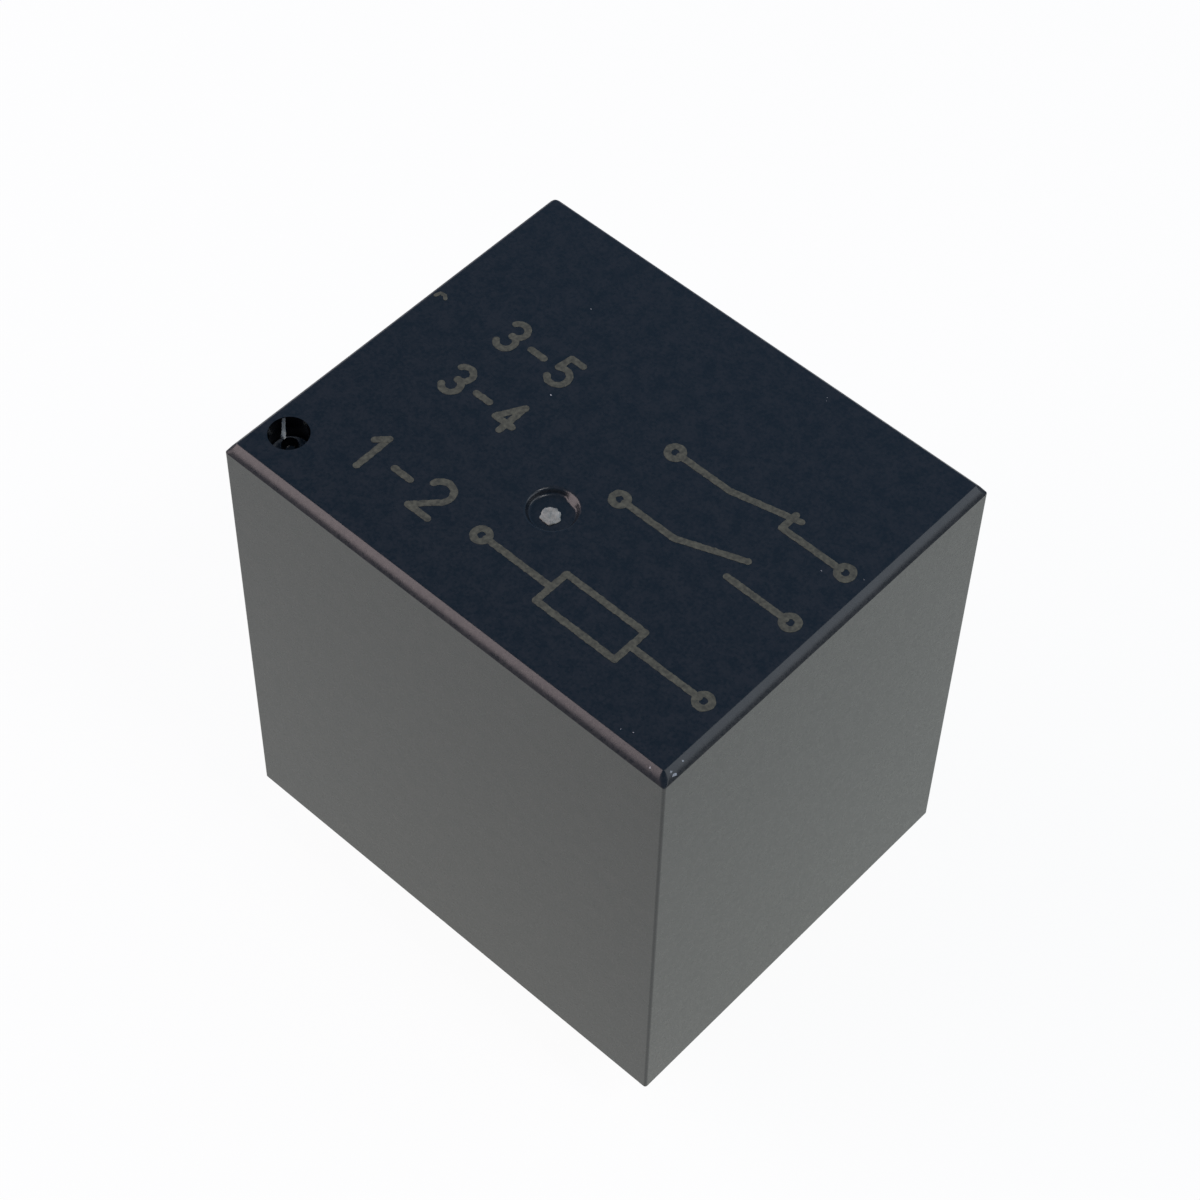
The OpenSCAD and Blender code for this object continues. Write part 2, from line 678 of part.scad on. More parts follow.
// Bronze spring leaf that hinges the armature, returns it and carries the moving contact
module contact_spring() color(spring_bronze) {
    hole_r = stake_d / 2 + slip_gap;
    difference() {
        rotate([90, 0, 0]) linear_extrude(spring_w, center = true) spring_side();
        at_rest() translate([0, 0, hinge_z + armature_t - past]) linear_extrude(spring_t + 2 * past)
            difference() {
                translate([armature_front, -spring_w]) square([body_l, 2 * spring_w]);
                tongue_plan();
            }
        for (side = [-1, 1]) {
            translate([yoke_back + past, side * stake_y, stake_z]) rotate([0, -90, 0])
                cylinder(r = hole_r, h = spring_t + 2 * past);
            at_rest() translate([stake_x, side * stake_y, hinge_z + armature_t - past])
                cylinder(r = hole_r, h = spring_t + 2 * past);
        }
        at_rest() translate([contact_x, 0, hinge_z + armature_t - past])
            cylinder(r = rivet_d / 2 + press_gap, h = spring_t + 2 * past);
        translate([yoke_back - spring_t - past, -window_w / 2, pole_z - window_drop])
            cube([spring_t + past + armature_heel_l, window_w, spring_tail]);
    }
}

// Head of the moving contact with a crowned face, standing on the origin
module crowned_head() {
    intersection() {
        cylinder(d = contact_d, h = contact_h);
        translate([0, 0, contact_h - crown_r]) sphere(crown_r);
    }
}

// Two-faced rivet through the end of the spring
module moving_contact() color(contact_silver) at_rest() translate([contact_x, 0, hinge_z + armature_t]) {
    translate([0, 0, -sink]) cylinder(d = rivet_d, h = spring_t + 2 * sink);
    translate([0, 0, spring_t]) crowned_head();
    mirror([0, 0, 1]) crowned_head();
}

cover();
base();
sealing_resin();
yoke();
core();
bobbin();
coil_winding();
coil_terminal_a();
coil_terminal_b();
coil_lead_a();
coil_lead_b();
solder_joint_a();
solder_joint_b();
com_terminal();
no_terminal();
no_contact();
nc_terminal();
nc_contact();
armature();
contact_spring();
moving_contact();
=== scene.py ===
"""Looks for a sealed circuit board relay: a moulded box over a coil, an armature and a change-over contact.

Sizes in the settings are metres, as in the rest of the scene. Meshes are drawn in millimetres and scaled
down once they are finished, because bevels and cuts are only this exact on larger numbers.
"""

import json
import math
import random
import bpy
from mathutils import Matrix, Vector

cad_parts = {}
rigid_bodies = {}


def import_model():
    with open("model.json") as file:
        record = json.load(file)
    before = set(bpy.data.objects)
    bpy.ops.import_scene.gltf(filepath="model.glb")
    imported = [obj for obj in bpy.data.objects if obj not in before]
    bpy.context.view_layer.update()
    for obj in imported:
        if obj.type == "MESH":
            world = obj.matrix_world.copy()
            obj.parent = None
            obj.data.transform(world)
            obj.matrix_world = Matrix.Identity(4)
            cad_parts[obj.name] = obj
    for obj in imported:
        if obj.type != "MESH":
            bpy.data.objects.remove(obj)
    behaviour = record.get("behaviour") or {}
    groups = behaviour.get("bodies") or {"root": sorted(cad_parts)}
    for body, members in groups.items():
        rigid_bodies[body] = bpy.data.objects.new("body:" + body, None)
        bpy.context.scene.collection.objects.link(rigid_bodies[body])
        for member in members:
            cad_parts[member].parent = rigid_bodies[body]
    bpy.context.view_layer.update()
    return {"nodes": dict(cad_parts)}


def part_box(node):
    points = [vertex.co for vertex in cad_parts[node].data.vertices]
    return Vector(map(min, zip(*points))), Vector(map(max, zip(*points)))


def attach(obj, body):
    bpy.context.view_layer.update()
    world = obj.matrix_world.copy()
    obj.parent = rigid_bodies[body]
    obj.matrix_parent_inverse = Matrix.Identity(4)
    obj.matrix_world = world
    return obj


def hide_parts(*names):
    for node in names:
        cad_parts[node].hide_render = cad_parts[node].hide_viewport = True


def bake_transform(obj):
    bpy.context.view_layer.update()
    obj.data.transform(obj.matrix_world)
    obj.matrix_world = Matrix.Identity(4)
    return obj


bl_info = {
    "name": "Circuit Board Relay",
    "version": (1, 0, 0),
    "blender": (4, 5, 0),
    "location": "View3D > Sidebar > Relay",
    "description": "Dresses the solids of a sealed circuit board relay and stands it in a white studio",
    "category": "Object",
}

import bmesh
import bpy
from bpy.props import FloatProperty, FloatVectorProperty, PointerProperty
from bpy.types import Operator, Panel, PropertyGroup
from mathutils import Matrix, Vector, noise

for left_over in list(bpy.data.objects):
    bpy.data.objects.remove(left_over)
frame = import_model()

MM = 0.001
COVER_LOW, COVER_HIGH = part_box("cover")
PIN_TIP_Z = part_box("no_terminal")[0].z
# Stretch of a texture that is laid evenly, and the values between which most noise lies
EVEN = (1.0, 1.0, 1.0)
NOISE_REACH = (0.3, 0.7)
WHITE = (1.0, 1.0, 1.0, 1.0)
# How far details are sunk into what carries them, in millimetres
SUNK = 0.02


def length(name, default, text):
    """Setting for a size, in metres."""
    return FloatProperty(name=name, description=text, default=default, unit="LENGTH", precision=5)


def share(name, default, text):
    """Setting between nought and one."""
    return FloatProperty(name=name, description=text, default=default, min=0.0, max=1.0, subtype="FACTOR")


def colour(name, default, text):
    """Setting for a colour, in linear values."""
    return FloatVectorProperty(
        name=name, description=text, default=default, subtype="COLOR", min=0.0, max=1.0
    )


def tilt(name, degrees, text):
    """Setting for an angle."""
    return FloatProperty(name=name, description=text, default=math.radians(degrees), subtype="ANGLE")


def spot(name, default, text):
    """Setting for a place, in metres."""
    return FloatVectorProperty(
        name=name, description=text, size=len(default), default=default, subtype="TRANSLATION"
    )


def brightness(name, default, text):
    """Setting for the radiance of a lamp."""
    return FloatProperty(name=name, description=text, default=default, min=0.0)


class CoverSettings(PropertyGroup):
    """Sizes and colours of the moulded cover."""

    corner_radius: length("Corner Radius", 0.0001, "Rounding of the upright edges")
    corner_notch: length("Corner Notch", 0.00014, "Extra rounding of the corners where two bevels meet")
    bevel: length("Bevel", 0.0003, "Bevel of the edges round the top")
    bevel_ease: length("Bevel Easing", 0.00095, "Rounding between the bevel and the sides")
    bevel_crease: tilt("Bevel Crease", 22.0, "Angle of the crease that the rounding leaves at the sides")
    bevel_crest: length("Bevel Crest", 0.00006, "Rounding between the bevel and the top")
    wall: length("Wall", 0.0008, "Thickness of the side walls")
    top: length("Top", 0.0009, "Thickness of the top")
    inner_corner: length("Inner Corner", 0.0004, "Rounding of the upright corners inside")
    ledge_height: length("Ledge Height", 0.0026, "Height of the ledge that stops the base")
    ledge: length("Ledge", 0.0002, "Depth of the ledge that stops the base")
    rim_soften: length("Rim Rounding", 0.00004, "Rounding of the rims round the gate and the vent")
    black: colour("Black", (0.0044, 0.007, 0.01), "Cooler tone of the black plastic")
    black_light: colour("Light Black", (0.0124, 0.0134, 0.016), "Warmer tone of the black plastic")
    rough: share("Roughness", 0.3, "Roughness of the spark-eroded surface")
    grain: length("Grain", 0.00011, "Size of the spark-eroded grain")
    grain_depth: length("Grain Depth", 0.000001, "Depth of the spark-eroded grain")


class TopSettings(PropertyGroup):
    """Places and sizes of what is moulded and marked on the top."""

    gate_place: spot("Gate", (0.0, -0.0025), "Middle of the gate recess")
    gate_radius: length("Gate Radius", 0.00095, "Radius of the recess round the gate")
    gate_depth: length("Gate Depth", 0.00024, "Depth of the recess round the gate")
    gate_slope: tilt("Gate Slope", 68.0, "Slope of the wall of that recess")
    gate_lean: tilt("Gate Lean", 47.0, "Slope of that wall where it leans out")
    gate_lean_side: tilt("Gate Lean Side", 76.0, "Side on which that wall leans out")
    gate_lip: length("Gate Lip", 0.00012, "Rounding of the lip and the foot of that wall")
    break_place: spot("Break", (0.00003, -0.00262), "Middle of the broken gate")
    break_radius: length("Break Radius", 0.000345, "Radius of the broken gate")
    break_height: length("Break Height", 0.00006, "Height of the broken gate above the floor of its recess")
    break_white: colour("Break White", (0.3, 0.292, 0.255), "Pale tone of the torn plastic")
    vent_place: spot("Vent", (-0.0083, -0.00605), "Middle of the vent pocket")
    vent_radius: length("Vent Radius", 0.0007, "Radius of the vent pocket")
    vent_depth: length("Vent Depth", 0.00095, "Depth of the vent pocket")
    vent_wall: length("Vent Wall", 0.0005, "Wall of the boss that takes the vent pocket inside the cover")
    nib_radius: length("Nib Radius", 0.0003, "Radius of the closed nib in the vent pocket")
    nib_height: length("Nib Height", 0.0004, "Height of the closed nib in the vent pocket")
    stroke: length("Stroke", 0.00025, "Width of the marked lines")
    mark_grey: colour("Mark", (0.082, 0.077, 0.052), "Grey of the marked lines")


class InnerSettings(PropertyGroup):
    """Colours of the base, the magnet, the coil and the contacts."""

    base_black: colour("Base", (0.018, 0.018, 0.02), "Black of the moulded base")
    resin_black: colour("Resin", (0.022, 0.02, 0.018), "Black of the cast resin")
    bobbin_white: colour("Bobbin", (0.68, 0.65, 0.56), "Off-white of the bobbin")
    iron: colour("Iron", (0.56, 0.55, 0.52), "Nickel-plated iron of yoke, core and armature")
    copper: colour("Copper", (0.45, 0.12, 0.035), "Enamelled copper of the coil")
    tin: colour("Tin", (0.66, 0.65, 0.62), "Tin on the pins")
    brass: colour("Brass", (0.62, 0.4, 0.13), "Brass of the contact terminals")
    solder: colour("Solder", (0.6, 0.61, 0.62), "Solder on the coil pins")
    bronze: colour("Bronze", (0.6, 0.31, 0.12), "Bronze of the contact spring")
    silver: colour("Silver", (0.83, 0.81, 0.76), "Silver alloy of the contacts")


class StageSettings(PropertyGroup):
    """Camera, lamps and floor."""

    camera_place: spot("Camera", (0.04059, -0.046537, 0.094317), "Place of the camera")
    camera_turn: FloatVectorProperty(
        name="Camera Turn",
        description="Rotation of the camera",
        default=(math.radians(36.847), math.radians(-1.018), math.radians(42.503)),
        subtype="EULER",
    )
    lens: FloatProperty(name="Lens", description="Focal length in millimetres", default=90.964, min=10.0)
    side_radiance: brightness("Side Lamp", 4.2, "Brightness of the large lamp at the side")
    side_tint: colour("Side Tint", (1.0, 0.81, 0.79), "Tint of the large lamp at the side")
    far_radiance: brightness("Far Lamp", 1.7, "Brightness of the lamp at the far side")
    far_tint: colour("Far Tint", (0.92, 0.95, 0.97), "Tint of the lamp at the far side")
    front_radiance: brightness("Front Lamp", 26.0, "Brightness of the small front lamp")
    front_tint: colour("Front Tint", (1.0, 1.0, 1.0), "Tint of the small front lamp")
    ceiling: colour("Ceiling", (0.15, 0.25, 0.4), "Dim tone of the studio above")
    floor_white: colour("Floor", (0.92, 0.92, 0.92), "White of the floor")
    shadow_share: share("Shadow", 0.06, "Share of the floor's white that is lit, and so takes the shadow")
    mirror_shadow: share("Mirrored Shadow", 0.28, "Share of the lit floor in mirror images")
    paper_white: colour("Paper", (0.98, 1.0, 0.91), "White of the paper under the relay in mirror images")
    paper_middle: spot("Paper Middle", (0.014, -0.014, 0.0), "Middle of that paper")
    paper_near: length("Paper Reach", 0.047, "Distance to which mirror images show the floor as white paper")
    paper_far: length("Paper End", 0.066, "Distance at which that paper has ended in mirror images")
    table_grey: colour("Table", (0.055, 0.055, 0.06), "Tone round the paper in mirror images")
    horizon: colour("Horizon", (0.12, 0.12, 0.12), "Tone of the studio at the level of the floor")


def add_node(tree, kind, inputs=None, **values):
    """Adds a shader node, sets its values and fills its inputs with constants or links."""
    made = tree.nodes.new(kind)
    for name, value in values.items():
        setattr(made, name, value)
    for name, value in (inputs or {}).items():
        if isinstance(value, bpy.types.NodeSocket):
            tree.links.new(value, made.inputs[name])
        else:
            made.inputs[name].default_value = value
    return made


def compute(tree, operation, *values):
    """Result of one calculation on numbers or sockets."""
    return add_node(tree, "ShaderNodeMath", dict(enumerate(values)), operation=operation).outputs["Value"]


def carry(tree, value, near, far, first=0.0, last=1.0):
    """Value carried over from one range to another, and held at both ends."""
    ends = {"From Min": near, "From Max": far, "To Min": first, "To Max": last}
    return add_node(tree, "ShaderNodeMapRange", {"Value": value, **ends}).outputs["Result"]


def mix_colours(tree, factor, under, over):
    """Colour between two colours or sockets, by a factor."""
    mixed = add_node(tree, "ShaderNodeMix", {"Factor": factor, "A": under, "B": over}, data_type="RGBA")
    return mixed.outputs["Result"]


def shade(tree, value, low, high, first, last):
    """Colour that goes from the first to the last as a value goes from low to high."""
    ramp = add_node(tree, "ShaderNodeValToRGB", {"Fac": value})
    for stop, position, tone in zip(ramp.color_ramp.elements, (low, high), (first, last)):
        stop.position = position
        stop.color = tone
    return ramp.outputs["Color"]


def overlay(tree, shader, factor, tone):
    """Lays another colour over the colour of a finish, by a factor."""
    under = shader.inputs["Base Color"].links[0].from_socket
    tree.links.new(mix_colours(tree, factor, under, tone), shader.inputs["Base Color"])


def emboss(tree, shader, height, depth):
    """Gives a finish a relief of a depth in metres."""
    relief = add_node(tree, "ShaderNodeBump", {"Height": height, "Distance": depth, "Strength": 1.0})
    tree.links.new(relief.outputs["Normal"], shader.inputs["Normal"])


def toned(tone, factor):
    """The colour made lighter or darker by a factor, as four values."""
    return tuple(min(1.0, c * factor) for c in tone) + (1.0,)


def make_finish(
    name, dark, light, mottle, grain, depth, rough, metallic=0.0, ior=1.5, stretch=EVEN, speckle=0.0
):
    """Finish mottled between two colours with a fine grain in its surface.

    Mottle, grain and depth are metres. Rough holds the least and the greatest roughness.
    Speckle is the share of the grain in the mottle, which is then sharper.
    Gives the material, its shader and the place that the textures are laid by.
    """
    material = bpy.data.materials.new(name)
    material.use_nodes = True
    tree = material.node_tree
    shader = tree.nodes["Principled BSDF"]
    shader.inputs["Metallic"].default_value = metallic
    shader.inputs["IOR"].default_value = ior
    where = add_node(tree, "ShaderNodeTexCoord")
    laid = add_node(tree, "ShaderNodeMapping", {"Vector": where.outputs["Object"], "Scale": stretch})
    place = laid.outputs["Vector"]
    broad = add_node(tree, "ShaderNodeTexNoise", {"Vector": place, "Scale": 1.0 / mottle, "Detail": 5.0})
    fine = add_node(tree, "ShaderNodeTexNoise", {"Vector": place, "Scale": 1.0 / grain, "Detail": 3.0})
    mottled = add_node(
        tree, "ShaderNodeMix", {"Factor": speckle, "A": broad.outputs["Fac"], "B": fine.outputs["Fac"]}
    )
    low, high = NOISE_REACH
    closer = 0.2 * speckle
    tones = shade(tree, mottled.outputs["Result"], low + closer, high - closer, dark, light)
    spread = carry(tree, fine.outputs["Fac"], low, high, *rough)
    tree.links.new(tones, shader.inputs["Base Color"])
    tree.links.new(spread, shader.inputs["Roughness"])
    emboss(tree, shader, fine.outputs["Fac"], depth)
    return material, shader, place


def metal_finish(name, tone, grain, depth, rough, stretch=EVEN):
    """Metal with drawn or rolled grain along the direction that is stretched."""
    dark, light, mottle = toned(tone, 0.82), toned(tone, 1.08), 0.0016
    return make_finish(name, dark, light, mottle, grain, depth, rough, metallic=1.0, stretch=stretch)


def paint_nodes(material, *names):
    """Puts a finish on solids of the frame."""
    for name in names:
        slots = frame["nodes"][name].data.materials
        slots.clear()
        slots.append(material)


def smooth_mesh(mesh, angle):
    """Shades a mesh smoothly apart from its edges that are sharper than an angle in degrees."""
    for face in mesh.polygons:
        face.use_smooth = True
    mesh.set_sharp_from_angle(angle=math.radians(angle))


def scale_down(obj):
    """Takes a mesh from millimetres to metres."""
    obj.data.transform(Matrix.Scale(MM, 4))
    obj.data.update()


def fit_detail(piece, angle=None):
    """Makes a detail part of the cover, shaded smoothly if it is given an angle in degrees."""
    if angle:
        smooth_mesh(piece.data, angle)
    scale_down(piece)
    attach(piece, "housing")


def new_piece(name, form, material=None):
    """Object from a bmesh, linked to the scene."""
    mesh = bpy.data.meshes.new(name)
    form.to_mesh(mesh)
    form.free()
    piece = bpy.data.objects.new(name, mesh)
    bpy.context.scene.collection.objects.link(piece)
    if material:
        mesh.materials.append(material)
    return piece


def settle(piece):
    """Replaces a piece's mesh by what its modifiers make of it."""
    graph = bpy.context.evaluated_depsgraph_get()
    made = bpy.data.meshes.new_from_object(piece.evaluated_get(graph))
    old = piece.data
    piece.modifiers.clear()
    piece.data = made
    bpy.data.meshes.remove(old)
    if not made.polygons:
        raise RuntimeError(f"{piece.name} came out empty")


def carve(piece, tools):
    """Cuts the tools out of a piece and removes them."""
    for tool in tools:
        cut = piece.modifiers.new(tool.name, "BOOLEAN")
        cut.operation = "DIFFERENCE"
        cut.solver = "EXACT"
        cut.object = tool
    settle(piece)
    for tool in tools:
        bpy.data.objects.remove(tool)
    return piece


def millimetres(value):
    """Metres as millimetres."""
    return value / MM


def ring_points(radius, count, x=0.0, y=0.0):
    """Points round a circle, seen from above."""
    turns = (2 * math.pi * i / count for i in range(count))
    return [(x + radius * math.cos(a), y + radius * math.sin(a)) for a in turns]


def block_outline(long, wide, radius, steps=6):
    """Points round a rectangle with round corners, about the origin."""
    points = []
    for turn, (sx, sy) in enumerate(((1, 1), (-1, 1), (-1, -1), (1, -1))):
        x, y = sx * (long / 2 - radius), sy * (wide / 2 - radius)
        for i in range(steps + 1):
            a = math.pi / 2 * (turn + i / steps)
            points.append((x + radius * math.cos(a), y + radius * math.sin(a)))
    return points


def face_outwards(form):
    """Turns all faces of closed meshes outwards."""
    bmesh.ops.recalc_face_normals(form, faces=form.faces)


def bridge(form, loops):
    """Joins closed loops of as many points each, every one to the next."""
    for lower, upper in zip(loops, loops[1:]):
        for i in range(len(lower)):
            j = (i + 1) % len(lower)
            form.faces.new((lower[i], lower[j], upper[j], upper[i]))


def prism(points, low, high):
    """Closed prism on an outline, between two heights."""
    form = bmesh.new()
    floor, roof = ([form.verts.new((x, y, z)) for x, y in points] for z in (low, high))
    form.faces.new(floor[::-1])
    form.faces.new(roof)
    bridge(form, [floor, roof])
    return form


def turned(profile, steps, x=0.0, y=0.0):
    """Closed solid turned from a profile of radius and height, both ends of it on an upright axis."""
    form = bmesh.new()
    rings = []
    for r, z in profile:
        if r == 0.0:
            rings.append([form.verts.new((x, y, z))])
        else:
            rings.append([form.verts.new((px, py, z)) for px, py in ring_points(r, steps, x, y)])
    for lower, upper in zip(rings, rings[1:]):
        for i in range(steps):
            j = (i + 1) % steps
            round_face = ((lower, i), (lower, j), (upper, j), (upper, i))
            corners = [ring[k % len(ring)] for ring, k in round_face]
            form.faces.new(list(dict.fromkeys(corners)))
    face_outwards(form)
    return form


class RELAY_OT_mould_cover(Operator):
    """Moulds the black cover with its bevelled top, gate recess and vent pocket"""

    bl_idname = "relay.mould_cover"
    bl_label = "Mould Cover"

    # Angles in degrees from which rims are rounded, and from which edges stay sharp
    ROUNDED_FROM, SHARP_FROM = 50.0, 19.0
    # How far the cutters reach past the block in millimetres, and the faces round the vent
    PAST, ROUND_FACES = 1.0, 72
    DUST_GREY = (0.3, 0.3, 0.31, 1.0)

    def execute(self, context):
        size, top = context.scene.relay_cover, context.scene.relay_top
        low, high = COVER_LOW / MM, COVER_HIGH / MM
        cover = new_piece("cover_moulding", self.block(size, low, high))
        carve(cover, self.cutters(size, top, high))
        rims = cover.modifiers.new("rims", "BEVEL")
        rims.width = millimetres(size.rim_soften)
        rims.segments = 3
        rims.limit_method = "ANGLE"
        rims.angle_limit = math.radians(self.ROUNDED_FROM)
        smooth_mesh(cover.data, self.SHARP_FROM)
        facing = cover.modifiers.new("facing", "WEIGHTED_NORMAL")
        facing.keep_sharp = True
        settle(cover)
        scale_down(cover)
        cover.data.materials.clear()
        cover.data.materials.append(self.plastic(size))
        self.polish_and_shade_pocket(cover, top)
        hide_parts("cover")
        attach(cover, "housing")
        return {"FINISHED"}

    def block(self, size, low, high):
        """Solid block with rounded upright edges and an eased bevel round its top."""
        corner, notch, bevel = (millimetres(s) for s in (size.corner_radius, size.corner_notch, size.bevel))
        ease, crest, run = millimetres(size.bevel_ease), millimetres(size.bevel_crest), math.tan(math.pi / 8)
        slant, crease = math.pi / 4, size.bevel_crease
        join = high.z - bevel + ease * (math.cos(crease) - math.cos(slant))
        levels, steps = [(0.0, low.z)], 6
        for k in range(steps + 1):
            a = crease + (slant - crease) * k / steps
            inset = ease * (math.cos(crease) - math.cos(a))
            levels.append((inset, join - ease * (math.sin(slant) - math.sin(a))))
        for k in range(steps + 1):
            a = slant * (1 + k / steps)
            levels.append((bevel + crest * (run - math.cos(a)), high.z - crest * (1 - math.sin(a))))
        form = bmesh.new()
        loops = []
        for inset, z in levels:
            up = min(1.0, inset / bevel)
            rounding = corner * (1 - 0.6 * up) + notch * math.sin(math.pi * up**0.6)
            outline = block_outline(2 * (high.x - inset), 2 * (high.y - inset), rounding)
            loops.append([form.verts.new((x, y, z)) for x, y in outline])
        bridge(form, loops)
        form.faces.new(loops[0][::-1])
        form.faces.new(loops[-1])
        bmesh.ops.remove_doubles(form, verts=form.verts, dist=1e-4)
        face_outwards(form)
        return form

    def cutters(self, size, top, high):
        """The solids that are taken out of the block, in millimetres."""
        wall, ledge, bend = (millimetres(s) for s in (size.wall, size.ledge, size.inner_corner))
        inner_l, inner_w = 2 * (high.x - wall), 2 * (high.y - wall)
        inside = prism(block_outline(inner_l, inner_w, bend), -self.PAST, high.z - millimetres(size.top))
        seat_outline = block_outline(inner_l + 2 * ledge, inner_w + 2 * ledge, bend)
        seat = prism(seat_outline, -self.PAST, millimetres(size.ledge_height))
        x, y = (millimetres(c) for c in top.vent_place)
        r, floor = millimetres(top.vent_radius), high.z - millimetres(top.vent_depth)
        over, fillet = high.z + self.PAST, 0.02
        pocket = [(0.0, over), (r, over), (r, floor + fillet), (r - fillet, floor), (0.0, floor)]
        vent = turned(pocket, self.ROUND_FACES, x, y)
        under, around = floor - millimetres(top.vent_wall), r + millimetres(top.vent_wall)
        post = [(0.0, high.z), (around, high.z), (around, under), (0.0, under)]
        boss = turned(post, self.ROUND_FACES, x, y)
        return [
            carve(new_piece("inside", inside), [new_piece("boss", boss)]),
            new_piece("seat", seat),
            new_piece("gate", self.gate_dish(top, high)),
            new_piece("vent", vent),
        ]

    def gate_dish(self, top, high):
        """Solid that leaves the recess round the gate, with a wall that leans out on one side."""
        x, y = (millimetres(c) for c in top.gate_place)
        r, deep, bend = (millimetres(s) for s in (top.gate_radius, top.gate_depth, top.gate_lip))
        steps, sector, bends = 96, 0.33, 6
        form, columns = bmesh.new(), []
        for i in range(steps):
            turn = 2 * math.pi * i / steps
            off = math.remainder(turn - top.gate_lean_side, 2 * math.pi)
            slope = top.gate_slope - (top.gate_slope - top.gate_lean) * math.exp(-((off / sector) ** 4))
            dip = bend * (1 - math.cos(slope))
            foot = r - 2 * bend * math.sin(slope) - (deep - 2 * dip) / math.tan(slope)
            profile = [(r, self.PAST)]
            for k in range(bends + 1):
                a = slope * k / bends
                profile.append((r - bend * math.sin(a), -bend * (1 - math.cos(a))))
            for k in range(bends, -1, -1):
                a = slope * k / bends
                profile.append((foot + bend * math.sin(a), bend * (1 - math.cos(a)) - deep))
            ahead = Vector((math.cos(turn), math.sin(turn)))
            points = [(x + q * ahead.x, y + q * ahead.y, high.z + z) for q, z in profile]
            columns.append([form.verts.new(point) for point in points])
        for this, after in zip(columns, columns[1:] + columns[:1]):
            for k in range(len(this) - 1):
                form.faces.new((this[k], this[k + 1], after[k + 1], after[k]))
        form.faces.new([column[0] for column in columns])
        form.faces.new([column[-1] for column in columns])
        face_outwards(form)
        return form

    def polish_and_shade_pocket(self, cover, top):
        """Gives the walls and the floor of the vent pocket the polish of the pin that moulds them, and
        painted shade.
        """
        # Painted shade: this black is darker than the cover's, so the pocket and the nib show deep and unlit
        polished_and_shaded, shader, _ = make_finish(
            "pocket_polish",
            dark=(0.0012, 0.0014, 0.002, 1.0), light=(0.002, 0.0022, 0.003, 1.0),
            mottle=0.0005, grain=0.0001, depth=2e-7, rough=(0.1, 0.2),
        )
        # Painted shade: a weaker reflection keeps the pocket dark
        shader.inputs["Specular IOR Level"].default_value = 0.2
        cover.data.materials.append(polished_and_shaded)
        axis, reach = Vector(top.vent_place), top.vent_radius + 0.000003
        lowest, highest = COVER_HIGH.z - top.vent_depth - 0.00001, COVER_HIGH.z - 0.00005
        for face in cover.data.polygons:
            inside = (face.center.xy - axis).length < reach
            if inside and lowest < face.center.z < highest:
                face.material_index = 1

    def plastic(self, size):
        """Black plastic with a spark-eroded grain and a little dust."""
        rough = (max(0.0, size.rough - 0.05), size.rough + 0.05)
        material, shader, place = make_finish(
            "cover_black",
            dark=toned(size.black, 1.0), light=toned(size.black_light, 1.0),
            mottle=0.0006, grain=size.grain, depth=size.grain_depth, rough=rough,
            ior=1.45, speckle=0.5,
        )
        tree = material.node_tree
        dust = add_node(tree, "ShaderNodeTexVoronoi", {"Vector": place, "Scale": 700.0})
        # Specks in the middle of a few cells
        speck = carry(tree, dust.outputs["Distance"], 0.02, 0.045, 0.55, 0.0)
        few = add_node(tree, "ShaderNodeSeparateColor", {"Color": dust.outputs["Color"]})
        rare = compute(tree, "GREATER_THAN", few.outputs["Red"], 0.93)
        overlay(tree, shader, compute(tree, "MULTIPLY", speck, rare), self.DUST_GREY)
        return material


class RELAY_OT_break_gate(Operator):
    """Leaves the torn stub of the moulding gate in its recess"""

    bl_idname = "relay.break_gate"
    bl_label = "Break Gate"

    def execute(self, context):
        top = context.scene.relay_top
        x, y = (millimetres(c) for c in top.break_place)
        floor, rise = millimetres(COVER_HIGH.z - top.gate_depth), millimetres(top.break_height)
        radius, steps, rings = millimetres(top.break_radius), 48, 9
        form, loops = bmesh.new(), []
        for k in range(rings + 1):
            reach, out, loop = radius * k / rings, k / rings, []
            for i in range(steps):
                a = 2 * math.pi * i / steps
                ragged = 1 + 0.3 * noise.noise((1.9 * math.cos(a), 1.9 * math.sin(a), 4.0)) * out
                px, py = reach * ragged * math.cos(a), reach * ragged * math.sin(a)
                torn = noise.fractal((px * 5, py * 5, 1.7), 1.0, 2.0, 4)
                height = rise * (1 + 0.45 * torn - 0.35 * out**4)
                loop.append(form.verts.new((x + px, y + py, floor + height)))
            loops.append(loop)
        foot = [form.verts.new((v.co.x, v.co.y, floor - SUNK)) for v in loops[-1]]
        bridge(form, loops + [foot])
        form.faces.new(foot[::-1])
        bmesh.ops.remove_doubles(form, verts=form.verts, dist=1e-5)
        face_outwards(form)
        pale = top.break_white
        torn_white = make_finish(
            "torn_plastic",
            dark=toned(pale, 0.62), light=toned(pale, 1.25),
            mottle=0.00022, grain=0.00006, depth=0.000006, rough=(0.55, 0.8),
        )[0]
        fit_detail(new_piece("gate_stub", form, torn_white), 50.0)
        return {"FINISHED"}


